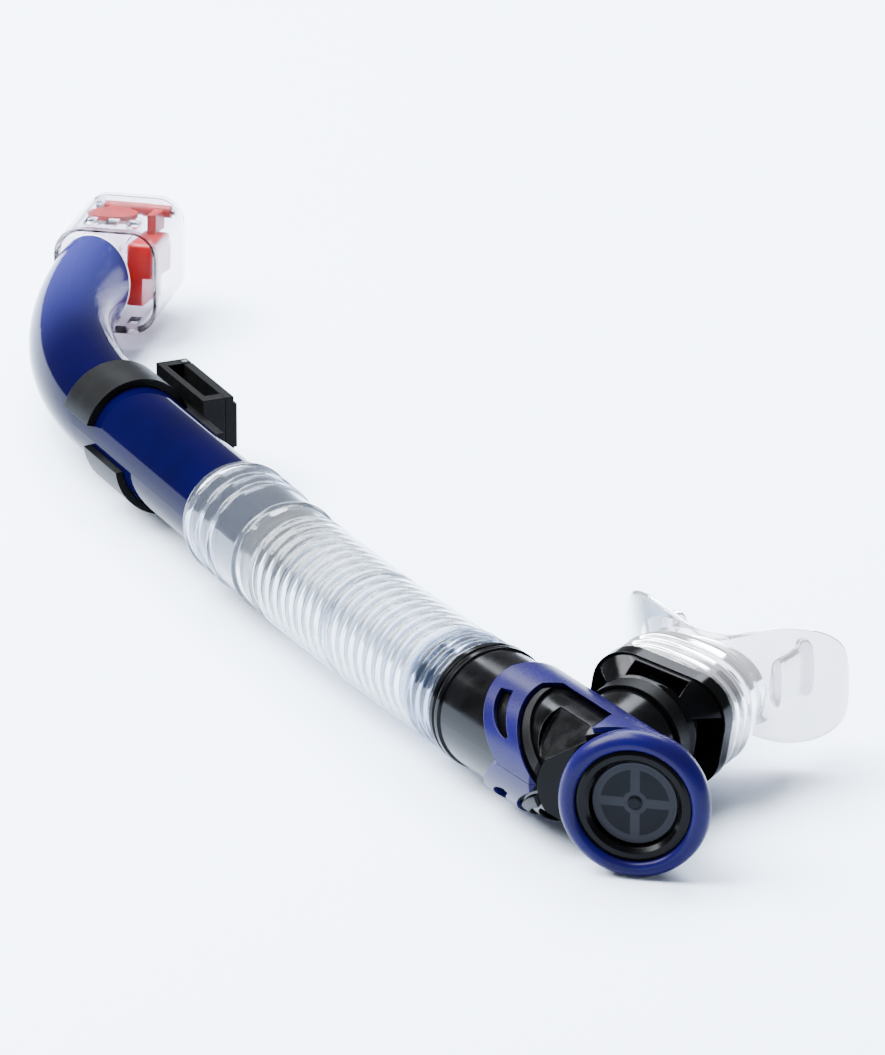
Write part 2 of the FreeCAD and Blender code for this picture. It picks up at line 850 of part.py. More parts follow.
def make_hose():
    """The hose as a plain tube on its gentle arc, then straight over the end of the barrel."""
    item = body("flex_hose", HOSE)
    inner = cell("barrel_radius") + cell("soft_gap")
    ring = sketch_on(item, "XY_Plane", "hose_ring")
    draw_circle(ring, (0.0, 0.0), inner)
    draw_circle(ring, (0.0, 0.0), inner + cell("hose_wall"))
    spine = sketch_on(item, "XZ_Plane", "hose_spine")
    radius = hose_radius
    middle = Vector(-radius * (1 - cosine(lean / 2)), radius * sine(lean / 2), 0)
    end = Vector(-radius * (1 - cosine(lean)), radius * sine(lean), 0)
    spine.addGeometry(Part.Arc(Vector(0, 0, 0), middle, end))
    run = Vector(-sine(lean), cosine(lean), 0) * number("far_cuff")
    spine.addGeometry(Part.LineSegment(end, end + run))
    feature = item.newObject("PartDesign::AdditivePipe", "hose_pipe")
    feature.Profile = ring
    feature.Spine = (spine, ["Edge1", "Edge2"])
    node(item, "flex_hose")


def make_neck_collar():
    """A ring that shows between hose and chamber, with a plug below and a spigot above."""
    bore = cell("spigot_bore")
    plug = cell("chamber_radius") - cell("chamber_wall") - cell("seat_gap")
    collar = cell("collar_radius")
    depth = cell("plug_depth")
    top = depth + cell("collar_length")
    tip = top + cell("spigot_length")
    profile = [
        (bore, 0.0),
        (plug, 0.0),
        (plug, depth + cell("seat_gap")),
        (collar - 0.6, depth + cell("seat_gap")),
        (collar, depth + cell("seat_gap") + 0.6),
        (collar, depth + 2.0),
        (collar - 0.5, depth + 2.3),
        (collar - 0.5, depth + 2.9),
        (collar, depth + 3.2),
        (collar, top - 0.6),
        (collar - 0.6, top),
        (cell("spigot_radius"), top),
        (cell("spigot_radius"), tip - 1.0),
        (cell("spigot_radius") - 0.8, tip),
        (bore, tip),
    ]
    node(turned("neck_collar", moved(NECK, z=-number("plug_depth")), profile), "neck_collar")


# ---------------------------------------------------------------- chamber and cover

def elbow(name, radius, length):
    """A capped tube along the chamber, a ball at the corner and a stub towards the purge end."""
    tube = cylinder(name + "_tube", CHAMBER, radius, length)
    heel = ball(name + "_ball", CHAMBER, radius)
    stub = cylinder(name + "_stub", moved(PURGE, z=-number("purge_reach")), radius,
                    cell("purge_reach"))
    return fuse(name, tube, heel, stub)


def beyond(name, depth):
    """Everything on the far side of a plane this deep behind the purge face."""
    return cylinder(name, moved(PURGE, z=-as_size(depth).value), 60.0, 60.0)


def rim_room(name, radius, depth):
    """Everything outside this radius about the purge axis, down to this depth."""
    wide = beyond(name + "_wide", depth)
    core = cylinder(name + "_core", moved(PURGE, z=-as_size(depth).value - 1.0), radius, 70.0)
    return cut(name, wide, core)


def make_chamber():
    wall = cell("chamber_wall")
    radius = cell("chamber_radius")
    outside = cut("chamber_outside", elbow("chamber_form", radius, cell("chamber_length")),
                  rim_room("rim_room", radius, cell("bezel_depth") + cell("seat_gap")))
    hollow = cut("chamber_hollow",
                 elbow("hollow_form", radius - wall, cell("chamber_length") + 1.0),
                 rim_room("seat_room", radius - wall, cell("bezel_depth") + wall))
    socket = cylinder("branch_socket", BRANCH, cell("socket_radius"), cell("socket_end"))
    solid = fuse("chamber_solid", outside, socket)
    bore = cylinder("socket_hollow", BRANCH, cell("socket_bore"), cell("socket_end") + 1.0)
    mouth = beyond("chamber_mouth", cell("bezel_lip") + cell("seat_gap"))
    seat_bore = cylinder("seat_bore", moved(PURGE, z=-(seal_back() + cell("seat_gap")).value),
                         radius - wall + 0.02, 60.0)
    recesses = [window_recess("recess_top", 1), window_recess("recess_bottom", -1)]
    spaces = fuse("chamber_spaces", hollow, bore, mouth, seat_bore, *recesses)
    node(cut("chamber_body", solid, spaces), "chamber_body")


WINDOW_ANGLE = 52.0
SEAL_THICKNESS = 1.2


def window_frame(side):
    """Looks straight out through the window of one cover half: X across, Y along the chamber."""
    angle = WINDOW_ANGLE * side
    across = Vector(-sine(angle), cosine(angle), 0)
    outward = Vector(cosine(angle), sine(angle), 0)
    turn = Rotation(across, UP, across.cross(UP), "ZYX")
    if across.cross(UP).dot(outward) < 0:
        turn = Rotation(-across, UP, outward, "ZYX")
    return CHAMBER.multiply(Placement(Vector(), turn))


def prism(name, side, outline, low, high):
    """A block seen through the window, with the outline mirrored for the lower half."""
    base = window_frame(side)
    item = body(name, moved(base, z=low))
    sketch = sketch_on(item, "XY_Plane", name + "_outline")
    draw_outline(sketch, [mirrored(corner, side) for corner in outline])
    pad(item, sketch, high - low, name + "_pad")
    return item


def mirrored(point, side):
    """Flip an outline's X for one side; outline X runs from the outer seam to the mouth side."""
    sign = -1 if side > 0 else 1
    flipped = (sign * point[0], point[1])
    if len(point) == 3:
        return flipped + ((sign * point[2][0], point[2][1]),)
    return flipped


RECESS = [(-6.2, 15.0), (-6.2, 29.0, (3.2, 25.6)), (8.4, 13.0), (6.6, 9.4, (0.8, 10.9))]


def window_recess(name, side):
    """A shallow pocket in the black panel behind the window."""
    return prism(name, side, RECESS, number("chamber_radius") - 1.6, 30.0)


def shell(name, inner, outer, length):
    """The chamber's outer form, thickened between two radii."""
    outside = elbow(name + "_outside", outer, length)
    inside = elbow(name + "_inside", inner, length + 2.0)
    return cut(name, outside, inside)


COVER = [(-17.5, 53.5), (-8.0, 54.0, (5.5, 48.0)), (14.1, 22.0), (14.1, -24.0), (-17.5, -24.0)]
WINDOW = [(-12.0, 15.0), (-12.0, 38.0), (-8.5, 40.6, (4.6, 33.0)), (12.2, 4.5), (11.4, 2.2, (1.5, 8.4)),
          (-8.5, 12.4)]
SLOT = [(-2.6, 44.0), (-1.6, 48.2, (4.4, 44.4)), (8.0, 35.4), (7.4, 34.6, (2.6, 40.2))]


def make_cover(name, side):
    """Half of the blue cover: a shell trimmed to its outline, with a window and a slot."""
    inner = cell("chamber_radius") + cell("seat_gap")
    outer = inner + cell("cover_thickness")
    skin = shell(name + "_shell", inner, outer, cell("cover_rear"))
    reach = prism(name + "_reach", side, COVER, 0.0, 40.0)
    gap = number("seam_gap") / 2
    low, high = (gap, 60.0) if side > 0 else (-60.0, -gap)
    half = block(name + "_half", CHAMBER, (-60.0, low, -60.0), (60.0, high, 120.0))
    kept = common(name + "_kept", skin, reach, half)
    window = prism(name + "_window", side, WINDOW, 5.0, 40.0)
    slot = prism(name + "_slot", side, SLOT, 5.0, 40.0)
    mouth = beyond(name + "_mouth", cell("bezel_depth") + cell("seat_gap"))
    socket = cylinder(name + "_socket", BRANCH, cell("socket_radius") + cell("seat_gap"), 60.0)
    node(cut(name, kept, fuse(name + "_spaces", window, slot, mouth, socket)), name)


GRIP = [(-9.0, 38.0), (-7.5, 39.0, (4.2, 31.6)), (11.2, 8.0), (9.8, 8.4, (3.0, 29.4))]


def make_grip(name, side):
    """A thin textured strip that follows the upper edge of the window."""
    inner = cell("chamber_radius") + cell("seat_gap")
    skin = shell(name + "_shell", inner, inner + 0.8, cell("cover_rear"))
    strip = prism(name + "_strip", side, GRIP, 5.0, 40.0)
    mouth = beyond(name + "_mouth", cell("bezel_depth") + cell("seat_gap"))
    node(cut(name, common(name + "_kept", skin, strip), mouth), name)


# ---------------------------------------------------------------- purge valve

def make_bezel():
    """The blue rim: a rounded ring with a skirt over the end of the chamber."""
    outer = cell("bezel_radius")
    mouth = cell("bezel_mouth")
    skirt = cell("chamber_radius") + cell("seat_gap")
    depth = cell("bezel_depth")
    lip = cell("bezel_lip")
    profile = [
        (skirt, 0.0),
        (skirt + 1.4, 0.0, (outer - 0.7, depth * 0.32)),
        (outer, depth * 0.62, (outer - 0.9, depth - 1.0)),
        (mouth + 1.8, depth, (mouth + 0.5, depth - 0.4)),
        (mouth, depth - 1.6),
        (mouth, depth - lip),
        (skirt, depth - lip),
    ]
    node(turned("purge_bezel", moved(PURGE, z=-number("bezel_depth")), profile), "purge_bezel")


def seat_back():
    """Depth of the back of the valve seat behind the purge face."""
    return cell("disc_depth") + cell("disc_thickness") + cell("run_gap") + cell("seat_thickness") + 1.2


def seal_back():
    """Depth of the back of the seal that lies behind the valve seat."""
    return seat_back() + SEAL_THICKNESS


def make_retainer():
    """The black ring that holds the valve seat in the end of the chamber."""
    bore = cell("retainer_bore")
    inside = cell("chamber_radius") - cell("chamber_wall") - cell("seat_gap")
    flange = cell("bezel_mouth") - cell("seat_gap")
    depth = seat_back() - cell("seat_thickness")
    lip = cell("bezel_lip")
    profile = [
        (bore, 0.0),
        (inside, 0.0),
        (inside, depth - lip + cell("seat_gap")),
        (flange, depth - lip + cell("seat_gap")),
        (flange, depth - 1.2),
        (flange - 0.9, depth - 0.8),
        (bore + 1.1, depth - 0.8),
        (bore, depth - 1.8),
    ]
    place = moved(PURGE, z=-depth.value)
    node(turned("purge_retainer", place, profile), "purge_retainer")


def make_seat():
    """A ring, four spokes and a hub behind the valve disc, with a raised sealing lip."""
    back = seat_back()
    base = moved(PURGE, z=-back.value)
    thick = cell("seat_thickness")
    outer = cell("chamber_radius") - cell("chamber_wall") - cell("seat_gap")
    ring = turned("seat_ring", base, [
        (cell("disc_radius") - 2.0, 0.0),
        (outer, 0.0),
        (outer, thick - cell("seat_gap")),
        (cell("disc_radius") - 0.3, thick - cell("seat_gap")),
        (cell("disc_radius") - 0.3, thick + 1.2),
        (cell("disc_radius") - 1.2, thick + 1.2),
        (cell("disc_radius") - 2.0, thick),
    ])
    hub = cylinder("seat_hub", base, cell("stem_radius") + 1.6, thick)
    reach = cell("disc_radius") - 1.6
    spokes = [
        block("seat_spoke_across", base, (-reach, -1.0, 0.0), (reach, 1.0, thick)),
        block("seat_spoke_upright", base, (-1.0, -reach, 0.0), (1.0, reach, thick)),
    ]
    hole = cylinder("seat_hole", moved(base, z=-1.0), cell("stem_radius") + cell("run_gap"),
                    thick + 2.0)
    node(cut("purge_seat", fuse("seat_solid", ring, hub, *spokes), hole), "purge_seat")


def make_diaphragm():
    """A thin disc on a stem; the bulb behind the hub lets the disc lift a little."""
    back = seat_back()
    bulb = back + cell("valve_lift") + 0.1
    low = bulb + 1.6
    face = cell("disc_depth")
    stem = cell("stem_radius")
    disc_back = low - face - cell("disc_thickness")
    profile = [
        (0.0, 0.0),
        (stem, 0.0),
        (stem + 0.7, 0.5),
        (stem + 0.7, 1.6),
        (stem, 1.6),
        (stem, disc_back),
        (cell("disc_radius"), disc_back),
        (cell("disc_radius"), low - face - 0.2),
        (cell("disc_radius") - 0.4, low - face),
        (stem, low - face),
        (stem - 0.3, low - face + 0.5),
        (0.0, low - face + 0.5),
    ]
    node(turned("purge_diaphragm", moved(PURGE, z=-low.value), profile), "purge_diaphragm")


def make_purge_o_ring():
    """A thin seal behind the valve seat."""
    outer = cell("chamber_radius") - cell("chamber_wall") - cell("seat_gap")
    thick = SEAL_THICKNESS
    profile = [(outer - 1.4, 0.0), (outer, 0.0), (outer, thick), (outer - 1.4, thick)]
    node(turned("purge_o_ring", moved(PURGE, z=-seal_back().value), profile), "purge_o_ring")


# ---------------------------------------------------------------- branch and mouthpiece

def make_swivel_collar():
    """A satin ring round the mouth of the branch socket, let into the chamber's side."""
    inner = cell("socket_radius") + cell("seat_gap")
    outer = inner + 0.9
    length = 5.0
    start = cell("socket_end") - length
    profile = [(inner, 0.0), (outer, 0.0), (outer, length - 0.4), (outer - 0.4, length),
               (inner, length)]
    ring = turned("swivel_ring", moved(BRANCH, z=start.value), profile)
    room = cell("chamber_radius") + cell("cover_thickness") + cell("seat_gap") * 2
    space = cylinder("swivel_room", CHAMBER, room, cell("chamber_length"))
    node(cut("swivel_collar", ring, space), "swivel_collar")


def branch_sleeve():
    return cell("socket_bore") - cell("run_gap")


O_RING_START = 4.0
O_RING_WIDTH = 1.8


def make_connector():
    """A turning sleeve with a seal groove, a flared shroud on ribs and an oval spigot."""
    sleeve = branch_sleeve()
    bore = cell("core_bore")
    start = cell("sleeve_start")
    groove = sleeve - 1.0
    thrust = cell("socket_end") + cell("soft_gap") - start
    core_end = cell("flange_start") + 0.5 - start
    core = turned("connector_core", moved(MOUTH, z=start.value), [
        (bore, 0.0),
        (sleeve - 0.5, 0.0),
        (sleeve, 0.5),
        (sleeve, O_RING_START),
        (groove, O_RING_START),
        (groove, O_RING_START + O_RING_WIDTH),
        (sleeve, O_RING_START + O_RING_WIDTH),
        (sleeve, thrust),
        (cell("socket_radius"), thrust),
        (cell("socket_radius"), thrust + 1.2),
        (sleeve, thrust + 1.2),
        (sleeve, core_end),
        (bore, core_end),
    ])
    depth = cell("flange_end") - cell("flange_start")
    flange = plate("connector_flange", moved(MOUTH, z=number("flange_start")),
                   rounded_outline(cell("flange_width"), cell("flange_height"),
                                   cell("flange_corner")), depth)
    tip = plate("connector_tip", moved(MOUTH, z=number("flange_end") - 0.5),
                rounded_outline(cell("tip_width"), cell("tip_height"), cell("tip_corner")),
                cell("tip_length") + 0.5)
    wall = cell("tip_wall")
    passage = plate("connector_passage", moved(MOUTH, z=number("flange_end") - 1.5),
                    rounded_outline(cell("tip_width") - wall, cell("tip_height") - wall,
                                    cell("tip_corner") - wall), cell("tip_length") + 3.0)
    throat = cylinder("connector_throat", moved(MOUTH, z=number("flange_start") - 1.0), bore,
                      depth + 2.0)
    shroud = make_shroud()
    ribs = [
        block(f"connector_rib_{index}", moved(MOUTH, turn=Rotation(UP, 35 + 110 * index)),
              (branch_sleeve() - 0.6, -1.3, cell("shroud_start") + 0.2),
              (branch_sleeve() + 2.0, 1.3, cell("flange_start") + 0.5))
        for index in range(4)
    ]
    solid = fuse("connector_solid", core, flange, tip, shroud, *ribs)
    node(cut("branch_connector", solid, fuse("connector_spaces", passage, throat)),
         "branch_connector")


def make_shroud():
    """The flare from the round sleeve to the oval flange, with an oblong window above and below
    and a wide gap at either side."""
    start = number("shroud_start") + 0.3
    end = number("flange_start") + 0.6
    radius = number("socket_radius") - 0.2
    wall = 1.7
    forms = []
    for inset, reach in ((0.0, 0.0), (wall, 0.5)):
        low = rounded_wire(Placement(Vector(0, 0, start - reach), Rotation()), radius - inset,
                           radius - inset, radius - inset - 0.05)
        high = rounded_wire(Placement(Vector(0, 0, end + reach), Rotation()),
                            number("flange_width") - inset - 0.4,
                            number("flange_height") - inset - 0.4,
                            number("flange_corner") - inset - 0.4)
        forms.append(Part.makeLoft([low, high], True, True))
    low = start + 1.6
    window = Part.makeBox(15.0, 80.0, end - 1.6 - low, Vector(-7.5, -40.0, low))
    gap = Part.makeBox(80.0, 19.0, end - 0.2 - low, Vector(-40.0, -11.5, low))
    item = document.addObject("Part::Feature", "connector_shroud")
    item.Shape = forms[0].cut(forms[1]).cut(window).cut(gap)
    item.Placement = MOUTH
    return item


def make_swivel_o_ring():
    sleeve = branch_sleeve()
    inner = sleeve - 1.0 + 0.02
    outer = sleeve + 0.03
    width = O_RING_WIDTH - 0.1
    start = cell("sleeve_start") + O_RING_START + 0.05
    profile = [(inner, 0.0), (outer, 0.0), (outer, width), (inner, width)]
    node(turned("swivel_o_ring", moved(BRANCH, z=start.value), profile), "swivel_o_ring")


def make_mouthpiece():
    """Soft cuff, neck, curved bite plate and two bite tabs, with an oval airway through it."""
    gap = cell("soft_gap")
    wall = cell("cuff_wall")
    start = cell("flange_end") + gap
    inner = (cell("tip_width") + gap, cell("tip_height") + gap)
    outer = (inner[0] + wall, inner[1] + wall)
    corner = cell("tip_corner") + gap
    cuff = plate("mouth_cuff", moved(MOUTH, z=start.value),
                 rounded_outline(*outer, corner + wall), cell("cuff_length"))
    neck_start = start + cell("cuff_length")
    plate_face = neck_start + cell("mouth_neck")
    airway = (cell("airway_width"), cell("airway_height"))
    neck_wires = [
        rounded_wire(Placement(Vector(0, 0, neck_start.value - 0.01), Rotation()),
                     *[half.value for half in outer], (corner + wall).value),
        rounded_wire(Placement(Vector(0, 0, plate_face.value + 1.0), Rotation()),
                     *[half.value + 2.6 for half in airway], airway[1].value),
    ]
    neck = document.addObject("Part::Feature", "mouth_neck_flare")
    neck.Shape = Part.makeLoft(neck_wires, True, True)
    neck.Placement = MOUTH
    radius = cell("bite_plate_radius")
    thick = cell("bite_plate_thickness")
    half = cell("bite_half_height")
    drum_frame = moved(MOUTH, y=-half.value - 1.0, z=(plate_face + radius).value,
                       turn=Rotation(Vector(1, 0, 0), -90))
    drum = cylinder("bite_drum", drum_frame, radius, half * 2 + 2.0)
    drum_hollow = cylinder("bite_drum_hollow", moved(drum_frame, z=-1.0), radius - thick,
                           half * 2 + 4.0)
    wide = cell("bite_half_width")
    high = half
    waist = cell("airway_height") + 3.4
    corner_x = wide - 2.8
    corner_y = high * 0.85
    lobe = wide - 9.0
    dip_x = wide * 0.36
    dip_y = high * 0.84
    lobes = plate("bite_outline", moved(MOUTH, z=(plate_face - 2.0).value), [
        (wide, -high * 0.45),
        (wide, high * 0.45, (corner_x, corner_y)),
        (lobe, high, (dip_x, dip_y)),
        (0.0, waist, (-dip_x, dip_y)),
        (-lobe, high, (-corner_x, corner_y)),
        (-wide, high * 0.45),
        (-wide, -high * 0.45, (-corner_x, -corner_y)),
        (-lobe, -high, (-dip_x, -dip_y)),
        (0.0, -waist, (dip_x, -dip_y)),
        (lobe, -high, (corner_x, -corner_y)),
    ], radius)
    bite_plate = common("bite_plate", cut("bite_sheet", drum, drum_hollow), lobes)
    place = cell("bite_tab_place")
    half_width = cell("bite_tab_width") / 2
    half_thick = cell("bite_tab_thickness") / 2
    far = plate_face + 3.0 + cell("bite_tab_length")
    tabs = []
    for index, side in enumerate((-1, 1)):
        middle = place * side
        tabs.append(block(f"bite_tab_{index}", MOUTH,
                          (middle - half_width, -half_thick, plate_face + 1.2),
                          (middle + half_width, half_thick, far)))
        tabs.append(block(f"bite_bead_{index}", MOUTH, (middle - half_width, -6.5, far - 2.6),
                          (middle + half_width, 6.5, far)))
    solid = fuse("mouth_solid", cuff, neck, bite_plate, *tabs)
    socket = plate("mouth_socket", moved(MOUTH, z=start.value - 1.0),
                   rounded_outline(*inner, corner), cell("cuff_length") + 0.2)
    passage = oval_ring("mouth_passage", moved(MOUTH, z=start.value), airway, None,
                        cell("cuff_length") + cell("mouth_neck") + 6.0)
    node(cut("mouthpiece", solid, fuse("mouth_spaces", socket, passage)), "mouthpiece")


# ---------------------------------------------------------------- build and write

def check(item):
    shape = item.Shape
    if shape.isNull() or not shape.isValid() or not shape.Solids:
        raise RuntimeError(f"{item.Label} has no valid solid")


def main():
    make_barrel()
    make_top_gasket()
    make_core_insert()
    make_top_base()
    make_hood()
    make_hinge_pin()
    make_flap()
    make_lever()
    make_float()
    make_keeper()
    make_bracket()
    make_gate()
    make_hose()
    make_neck_collar()
    make_chamber()
    make_cover("cover_top", 1)
    make_cover("cover_bottom", -1)
    make_grip("grip_top", 1)
    make_grip("grip_bottom", -1)
    make_bezel()
    make_retainer()
    make_seat()
    make_diaphragm()
    make_purge_o_ring()
    make_swivel_collar()
    make_connector()
    make_swivel_o_ring()
    make_mouthpiece()
    document.recompute()
    for item in document.Objects:
        if "Invalid" in item.State or "Error" in item.State:
            raise RuntimeError(f"{item.Label} failed: {item.State}")
    os.makedirs("parts", exist_ok=True)
    for item in NODES:
        check(item)
        item.Shape.exportStep(f"parts/{item.Label}.step")


main()
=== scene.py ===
import bpy
import json
import math
import numpy as np
from mathutils import Matrix, Vector


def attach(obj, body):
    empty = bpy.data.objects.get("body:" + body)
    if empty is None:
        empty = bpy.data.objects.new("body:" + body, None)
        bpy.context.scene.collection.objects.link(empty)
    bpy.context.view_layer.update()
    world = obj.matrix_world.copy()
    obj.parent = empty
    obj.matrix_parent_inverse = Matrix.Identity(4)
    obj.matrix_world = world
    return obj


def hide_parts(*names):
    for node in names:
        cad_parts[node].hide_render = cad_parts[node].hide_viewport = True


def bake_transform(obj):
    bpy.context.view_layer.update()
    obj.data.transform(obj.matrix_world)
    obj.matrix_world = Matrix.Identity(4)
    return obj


# A dry snorkel lying on a pale studio floor.  Metres, +Z up, the barrel along +Y.

MM = 0.001

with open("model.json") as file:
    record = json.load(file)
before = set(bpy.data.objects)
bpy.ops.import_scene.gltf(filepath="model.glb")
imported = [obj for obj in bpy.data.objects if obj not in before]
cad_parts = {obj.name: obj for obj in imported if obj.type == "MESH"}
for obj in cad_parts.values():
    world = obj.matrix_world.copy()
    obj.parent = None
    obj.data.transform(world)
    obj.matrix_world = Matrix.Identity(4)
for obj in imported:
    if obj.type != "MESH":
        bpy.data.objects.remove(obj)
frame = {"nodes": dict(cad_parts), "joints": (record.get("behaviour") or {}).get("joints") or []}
nodes = frame["nodes"]
joints = {joint["name"]: joint for joint in frame["joints"]}
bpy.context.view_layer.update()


# ---------------------------------------------------------------- shading helpers

def linear(text):
    """An sRGB hex colour as linear RGBA, channel by channel:
    c / 12.92 below 0.04045, and ((c + 0.055) / 1.055) ** 2.4 above."""
    parts = [int(text[i:i + 2], 16) / 255 for i in (1, 3, 5)]
    return [c / 12.92 if c <= 0.04045 else ((c + 0.055) / 1.055) ** 2.4 for c in parts] + [1.0]


def add(tree, kind, settings=None, links=None):
    """Add one shader node, set its properties and input values, and link its inputs."""
    item = tree.nodes.new(kind)
    for name, value in (settings or {}).items():
        if name in item.inputs:
            item.inputs[name].default_value = value
        else:
            setattr(item, name, value)
    for name, socket in (links or {}).items():
        tree.links.new(socket, item.inputs[name])
    return item


def material(name, settings, links=None):
    """A Principled material; links is a function that returns sockets for its inputs."""
    made = bpy.data.materials.new(name)
    made.use_nodes = True
    tree = made.node_tree
    shader = tree.nodes["Principled BSDF"]
    for key, value in settings.items():
        shader.inputs[key].default_value = value
    if links:
        for key, socket in links(tree).items():
            tree.links.new(socket, shader.inputs[key])
    return made


def place_in_mm(tree):
    """Object coordinates scaled from metres to millimetres."""
    source = add(tree, "ShaderNodeTexCoord")
    scaled = add(tree, "ShaderNodeVectorMath", {"operation": "SCALE", "Scale": 1000.0},
                 {0: source.outputs["Object"]})
    return scaled.outputs[0]


def ramp(tree, fac, low, high, start=0.35, end=0.65):
    """A smooth change from one number or colour to another as fac runs over a range."""
    item = add(tree, "ShaderNodeMapRange", {"From Min": start, "From Max": end,
                                            "interpolation_type": "SMOOTHSTEP"}, {"Value": fac})
    if isinstance(low, float):
        item.inputs["To Min"].default_value = low
        item.inputs["To Max"].default_value = high
        return item.outputs["Result"]
    mix = add(tree, "ShaderNodeMix", {"data_type": "RGBA"}, {0: item.outputs["Result"]})
    mix.inputs[6].default_value = low
    mix.inputs[7].default_value = high
    return mix.outputs[2]


def noise(tree, place, per_mm, detail=3.0):
    """Fractal noise with about this many features in one millimetre."""
    return add(tree, "ShaderNodeTexNoise", {"Scale": per_mm, "Detail": detail},
               {"Vector": place}).outputs["Fac"]


def soft_edges(tree, height=None, radius=0.35, depth=0.02):
    """A normal that rounds sharp edges by a radius in mm, with an optional fine relief in mm."""
    edge = add(tree, "ShaderNodeBevel", {"samples": 4, "Radius": radius * MM})
    if height is None:
        return edge.outputs[0]
    bump = add(tree, "ShaderNodeBump", {"Strength": 1.0, "Distance": depth * MM},
               {"Height": height, "Normal": edge.outputs[0]})
    return bump.outputs[0]


# ---------------------------------------------------------------- materials

# The lamps are strong, so that the floor shows nearly white.  The body colours and specular
# levels of the blue and black plastics are therefore far below their usual values, which holds
# their colours deep.

# Where the barrel's painted light starts and ends, in mm along it.
PALE_START = 110.0
PALE_END = 185.0


def dyed_polycarbonate():
    """Blue barrel: dyed polycarbonate with a deep body colour and a smooth skin, drawn opaque.
    Its painted light: it pales to periwinkle towards its open top end, for light coming through a real
    tube."""
    def links(tree):
        place = place_in_mm(tree)
        cloud = noise(tree, place, 0.03)
        fine = noise(tree, place, 1.2)
        deep = ramp(tree, cloud, linear("#03011E"), linear("#020118"))
        along = add(tree, "ShaderNodeSeparateXYZ", {}, {0: place}).outputs["Y"]
        # Painted light: the share of the paler colour, rising along the barrel towards its open end.
        thin = ramp(tree, along, 0.0, 1.0, PALE_START, PALE_END)
        colour = add(tree, "ShaderNodeMix", {"data_type": "RGBA"}, {0: thin})
        tree.links.new(deep, colour.inputs[6])
        colour.inputs[7].default_value = linear("#222350")
        return {"Base Color": colour.outputs[2],
                "Roughness": ramp(tree, fine, 0.05, 0.09)}
    return material("blue_polycarbonate",
                    {"IOR": 1.5, "Specular IOR Level": 0.016}, links)


def blue_gloss():
    """Blue ABS cover and rim: an even blue with a soft gloss and faint moulding grain."""
    def links(tree):
        place = place_in_mm(tree)
        fine = noise(tree, place, 5.0)
        cloud = noise(tree, place, 0.08)
        return {"Base Color": ramp(tree, cloud, linear("#0A0538"), linear("#0B0630")),
                "Roughness": ramp(tree, fine, 0.24, 0.34),
                "Normal": soft_edges(tree, fine, 0.4, 0.006)}
    return material("blue_abs", {"IOR": 1.5, "Specular IOR Level": 0.08}, links)


def black_gloss():
    """Chamber, collar and branch: injection-moulded black ABS, polished, with faint haze."""
    def links(tree):
        place = place_in_mm(tree)
        fine = noise(tree, place, 3.0)
        haze = noise(tree, place, 0.15)
        return {"Base Color": ramp(tree, haze, linear("#020202"), linear("#040405")),
                "Roughness": ramp(tree, haze, 0.12, 0.2),
                "Normal": soft_edges(tree, fine, 0.35, 0.004)}
    return material("black_abs_gloss", {"IOR": 1.5, "Specular IOR Level": 0.06}, links)


def black_satin():
    """Keeper, grips and collars: black nylon with a fine spark-eroded grain."""
    def links(tree):
        place = place_in_mm(tree)
        grain = noise(tree, place, 6.0, 4.0)
        haze = noise(tree, place, 0.2)
        return {"Base Color": ramp(tree, haze, linear("#030303"), linear("#060606")),
                "Roughness": ramp(tree, grain, 0.34, 0.5),
                "Normal": soft_edges(tree, grain, 0.4, 0.02)}
    return material("black_nylon_satin", {"IOR": 1.5, "Specular IOR Level": 0.05}, links)


def clear_polycarbonate(name, tint, roughness):
    """Hood and duct: clear polycarbonate with a trace of moulding haze.  Its index is set well
    below the plastic's own 1.58, so that the thin walls mirror little of the bright floor and
    the red float stays vivid behind them."""
    def links(tree):
        place = place_in_mm(tree)
        haze = noise(tree, place, 0.25)
        return {"Base Color": ramp(tree, haze, linear(tint), linear("#ECE8EC")),
                "Roughness": ramp(tree, haze, roughness, roughness + 0.04)}
    return material(name, {"Transmission Weight": 0.996, "IOR": 1.14}, links)


def red_plastic():
    """Float, flap and core ring: bright red polypropylene with a soft sheen."""
    def links(tree):
        place = place_in_mm(tree)
        cloud = noise(tree, place, 0.12)
        fine = noise(tree, place, 4.0)
        return {"Base Color": ramp(tree, cloud, linear("#A80804"), linear("#960603")),
                "Roughness": ramp(tree, cloud, 0.32, 0.42),
                "Normal": soft_edges(tree, fine, 0.3, 0.01)}
    return material("red_polypropylene", {"IOR": 1.49, "Subsurface Weight": 0.05,
                                          "Subsurface Radius": [0.004, 0.001, 0.001],
                                          "Subsurface Scale": 0.3}, links)


def silicone(name, tint, shade, transmission, low, high):
    """Hose and mouthpiece: moulded clear silicone, slightly milky, with a wet-looking skin.  The
    deep attribute of the mesh paints shade: blue-grey over the hose's cuffs, for the shaded spigot
    and barrel seen through them, and in the valleys beside ribs and rings."""
    def links(tree):
        place = place_in_mm(tree)
        cloud = noise(tree, place, 0.07)
        fine = noise(tree, place, 1.5)
        relief = add(tree, "ShaderNodeBump", {"Strength": 0.5, "Distance": 0.02 * MM},
                     {"Height": fine})
        # Painted shade: the deep attribute mixes the colour towards the blue-grey below.
        deep = add(tree, "ShaderNodeAttribute", {"attribute_name": "deep"}).outputs["Fac"]
        body = ramp(tree, cloud, linear(tint), linear(shade))
        colour = add(tree, "ShaderNodeMix", {"data_type": "RGBA"}, {0: deep})
        tree.links.new(body, colour.inputs[6])
        colour.inputs[7].default_value = linear("#3F5C86")
        return {"Base Color": colour.outputs[2],
                "Roughness": ramp(tree, cloud, low, high),
                "Normal": relief.outputs[0]}
    return material(name, {"Transmission Weight": transmission, "IOR": 1.32}, links)


